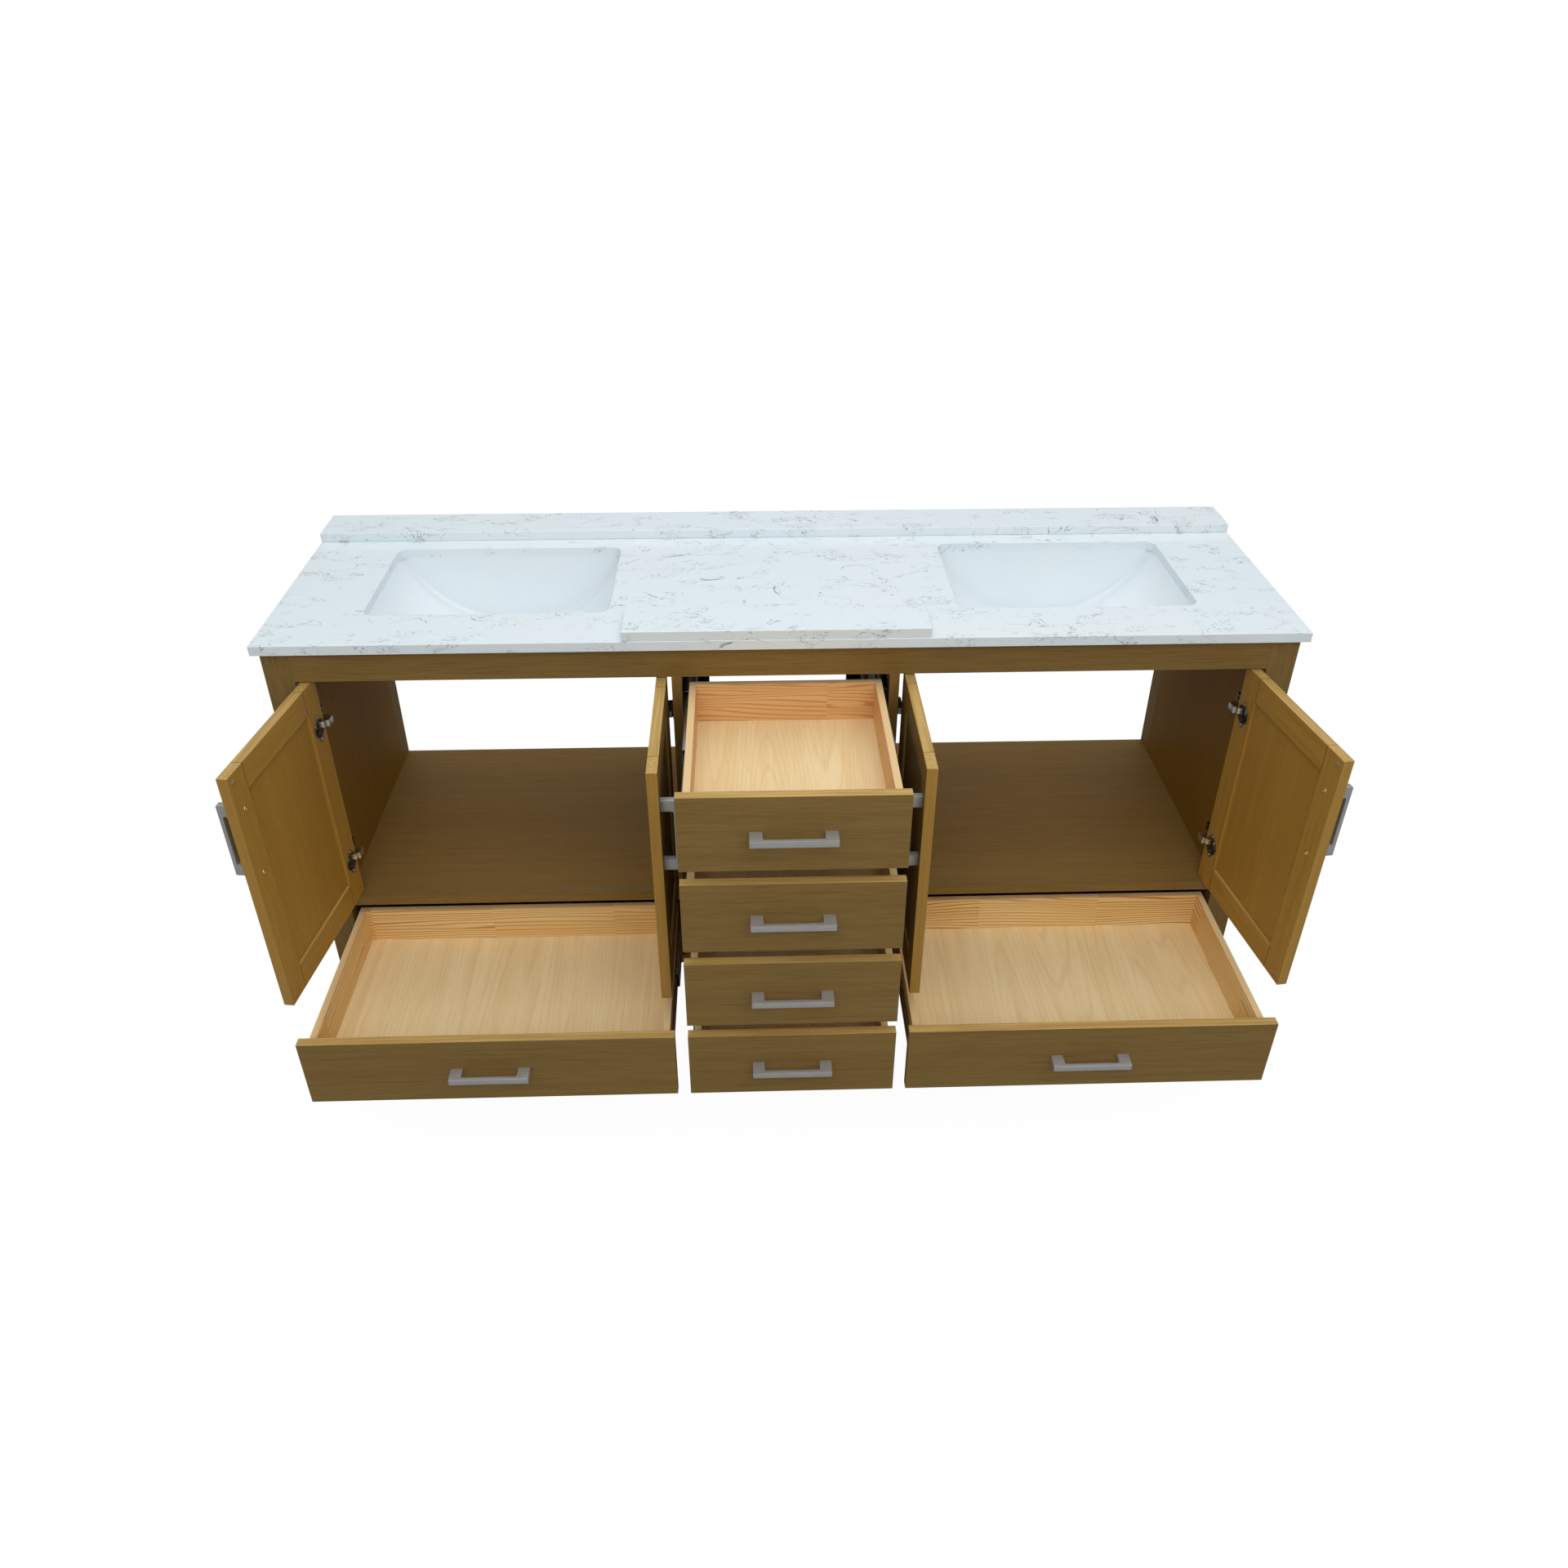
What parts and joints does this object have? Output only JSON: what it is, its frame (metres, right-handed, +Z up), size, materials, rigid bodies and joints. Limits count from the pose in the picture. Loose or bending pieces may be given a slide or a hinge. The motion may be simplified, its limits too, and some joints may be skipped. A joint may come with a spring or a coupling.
{
  "type": "bathroom vanity cabinet",
  "caption": "Wide wooden vanity on legs with inset doors and drawers on slides, a stone top over undermount trough sinks, and two loose stone splash slabs.",
  "frame": {"origin": "on the floor at the wall, midway between the sides", "axes": "+X to the right seen from the front, +Y to the wall behind, +Z up"},
  "size_m": [1.854, 0.952, 0.894],
  "materials": {
    "stone": "polished engineered stone with fine broken grey veins",
    "glaze": "white glaze",
    "frame_wood": "stained and satin lacquered, fine straight grain",
    "carcass_wood": "stained plywood, satin",
    "door_wood": "stained and satin lacquered, upright grain on the stiles",
    "door_panel_wood": "stained and satin lacquered",
    "drawer_front_wood": "stained and satin lacquered, level grain",
    "drawer_box_wood": "pale pine, clear lacquer",
    "drawer_bottom": "thin board with a maple face",
    "slide_steel": "zinc plated",
    "hinge_steel": "nickel plated",
    "nickel": "brushed nickel, brush lines along the length"
  },
  "bodies": {
    "cabinet": {"countertop": "stone", "backsplash": "stone", "side_splash": "stone", "sink_bowl_left": "glaze", "sink_bowl_right": "glaze", "front_posts": "frame_wood", "rear_posts": "frame_wood", "top_rail": "frame_wood", "face_rails": "frame_wood", "dividers": "carcass_wood", "side_liners": "carcass_wood", "side_panels": "carcass_wood", "compartment_floors": "carcass_wood", "bottom_boards": "carcass_wood", "back_frame": "carcass_wood", "cabinet_slides": "slide_steel", "hinge_arms": "hinge_steel"},
    "outer_left_door": {"outer_left_door_frame": "door_wood", "outer_left_door_panel": "door_panel_wood", "outer_left_door_hardware": "nickel"},
    "inner_left_door": {"inner_left_door_frame": "door_wood", "inner_left_door_panel": "door_panel_wood", "inner_left_door_hardware": "nickel"},
    "inner_right_door": {"inner_right_door_frame": "door_wood", "inner_right_door_panel": "door_panel_wood", "inner_right_door_hardware": "nickel"},
    "outer_right_door": {"outer_right_door_frame": "door_wood", "outer_right_door_panel": "door_panel_wood", "outer_right_door_hardware": "nickel"},
    "centre_drawer_1": {"centre_drawer_1_front": "drawer_front_wood", "centre_drawer_1_box": "drawer_box_wood", "centre_drawer_1_bottom": "drawer_bottom", "centre_drawer_1_hardware": "nickel"},
    "centre_drawer_2": {"centre_drawer_2_front": "drawer_front_wood", "centre_drawer_2_box": "drawer_box_wood", "centre_drawer_2_bottom": "drawer_bottom", "centre_drawer_2_hardware": "nickel"},
    "centre_drawer_3": {"centre_drawer_3_front": "drawer_front_wood", "centre_drawer_3_box": "drawer_box_wood", "centre_drawer_3_bottom": "drawer_bottom", "centre_drawer_3_hardware": "nickel"},
    "centre_drawer_4": {"centre_drawer_4_front": "drawer_front_wood", "centre_drawer_4_box": "drawer_box_wood", "centre_drawer_4_bottom": "drawer_bottom", "centre_drawer_4_hardware": "nickel"},
    "left_drawer": {"left_drawer_front": "drawer_front_wood", "left_drawer_box": "drawer_box_wood", "left_drawer_bottom": "drawer_bottom", "left_drawer_hardware": "nickel"},
    "right_drawer": {"right_drawer_front": "drawer_front_wood", "right_drawer_box": "drawer_box_wood", "right_drawer_bottom": "drawer_bottom", "right_drawer_hardware": "nickel"},
    "centre_drawer_1_runners": {"centre_drawer_1_runners": "slide_steel"},
    "centre_drawer_2_runners": {"centre_drawer_2_runners": "slide_steel"},
    "centre_drawer_3_runners": {"centre_drawer_3_runners": "slide_steel"},
    "centre_drawer_4_runners": {"centre_drawer_4_runners": "slide_steel"},
    "left_drawer_runners": {"left_drawer_runners": "slide_steel"},
    "right_drawer_runners": {"right_drawer_runners": "slide_steel"}
  },
  "joints": [
    {"name": "outer_left_door_hinge", "type": "hinge", "parent": "cabinet", "child": "outer_left_door", "pos_m": [-0.852, -0.538, 0.5555], "axis": [0, 0, -1], "range_deg": [-97.5, 7.5]},
    {"name": "inner_left_door_hinge", "type": "hinge", "parent": "cabinet", "child": "inner_left_door", "pos_m": [-0.219, -0.538, 0.5555], "axis": [0, 0, 1], "range_deg": [-90, 0]},
    {"name": "inner_right_door_hinge", "type": "hinge", "parent": "cabinet", "child": "inner_right_door", "pos_m": [0.219, -0.538, 0.5555], "axis": [0, 0, -1], "range_deg": [-90, 0]},
    {"name": "outer_right_door_hinge", "type": "hinge", "parent": "cabinet", "child": "outer_right_door", "pos_m": [0.852, -0.538, 0.5555], "axis": [0, 0, 1], "range_deg": [-97.5, 7.5]},
    {"name": "centre_drawer_1_slide", "type": "slide", "parent": "cabinet", "child": "centre_drawer_1", "axis": [0, -1, 0], "range_m": [-0.38, 0]},
    {"name": "centre_drawer_2_slide", "type": "slide", "parent": "cabinet", "child": "centre_drawer_2", "axis": [0, -1, 0], "range_m": [-0.38, 0]},
    {"name": "centre_drawer_3_slide", "type": "slide", "parent": "cabinet", "child": "centre_drawer_3", "axis": [0, -1, 0], "range_m": [-0.38, 0]},
    {"name": "centre_drawer_4_slide", "type": "slide", "parent": "cabinet", "child": "centre_drawer_4", "axis": [0, -1, 0], "range_m": [-0.38, 0]},
    {"name": "left_drawer_slide", "type": "slide", "parent": "cabinet", "child": "left_drawer", "axis": [0, -1, 0], "range_m": [-0.38, 0]},
    {"name": "right_drawer_slide", "type": "slide", "parent": "cabinet", "child": "right_drawer", "axis": [0, -1, 0], "range_m": [-0.38, 0]},
    {"name": "centre_drawer_1_runner_slide", "type": "slide", "parent": "cabinet", "child": "centre_drawer_1_runners", "axis": [0, -1, 0], "range_m": [-0.19, 0]},
    {"name": "centre_drawer_2_runner_slide", "type": "slide", "parent": "cabinet", "child": "centre_drawer_2_runners", "axis": [0, -1, 0], "range_m": [-0.19, 0]},
    {"name": "centre_drawer_3_runner_slide", "type": "slide", "parent": "cabinet", "child": "centre_drawer_3_runners", "axis": [0, -1, 0], "range_m": [-0.19, 0]},
    {"name": "centre_drawer_4_runner_slide", "type": "slide", "parent": "cabinet", "child": "centre_drawer_4_runners", "axis": [0, -1, 0], "range_m": [-0.19, 0]},
    {"name": "left_drawer_runner_slide", "type": "slide", "parent": "cabinet", "child": "left_drawer_runners", "axis": [0, -1, 0], "range_m": [-0.19, 0]},
    {"name": "right_drawer_runner_slide", "type": "slide", "parent": "cabinet", "child": "right_drawer_runners", "axis": [0, -1, 0], "range_m": [-0.19, 0]}
  ],
  "couplings": [
    {"joint": "centre_drawer_1_runner_slide", "follows": "centre_drawer_1_slide", "ratio": 0.5},
    {"joint": "centre_drawer_2_runner_slide", "follows": "centre_drawer_2_slide", "ratio": 0.5},
    {"joint": "centre_drawer_3_runner_slide", "follows": "centre_drawer_3_slide", "ratio": 0.5},
    {"joint": "centre_drawer_4_runner_slide", "follows": "centre_drawer_4_slide", "ratio": 0.5},
    {"joint": "left_drawer_runner_slide", "follows": "left_drawer_slide", "ratio": 0.5},
    {"joint": "right_drawer_runner_slide", "follows": "right_drawer_slide", "ratio": 0.5}
  ]
}
